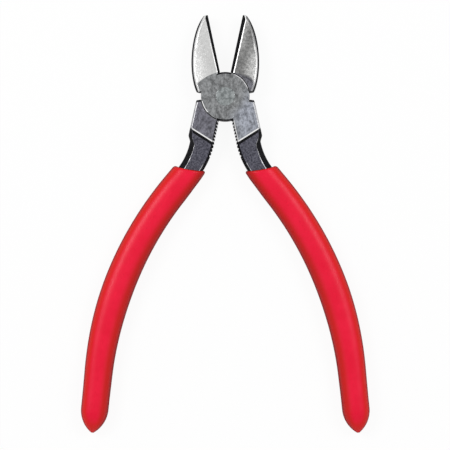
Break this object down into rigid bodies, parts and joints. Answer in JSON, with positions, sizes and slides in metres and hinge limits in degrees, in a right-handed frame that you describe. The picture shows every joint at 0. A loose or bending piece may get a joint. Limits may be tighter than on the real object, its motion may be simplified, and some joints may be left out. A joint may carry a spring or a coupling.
{
  "type": "diagonal cutting pliers",
  "caption": "Diagonal cutting pliers: two forged steel levers in a lap joint on a flush rivet, with bevelled blades, toothed shanks and red dipped grips.",
  "frame": {"origin": "on the pivot axis, in the plane of the lower joint face that the tool lies on", "axes": "+Y from the pivot towards the blade tips, +Z through the tool's thickness towards the front face, +X towards the front lever's handle"},
  "size_m": [0.1052, 0.1521, 0.0096],
  "materials": {
    "forged_steel": "satin ground faces, blackened sides and shanks",
    "rivet_steel": "ground flush",
    "red_vinyl": "glossy dipped vinyl"
  },
  "bodies": {
    "rear_half": {"rear_lever": "forged_steel", "rear_lever_grip": "red_vinyl", "pivot_rivet": "rivet_steel"},
    "front_half": {"front_lever": "forged_steel", "front_lever_grip": "red_vinyl"}
  },
  "joints": [
    {"name": "pivot", "type": "hinge", "parent": "rear_half", "child": "front_half", "pos_m": [0, 0, 0], "axis": [0, 0, 1], "range_deg": [-24, 16]}
  ]
}
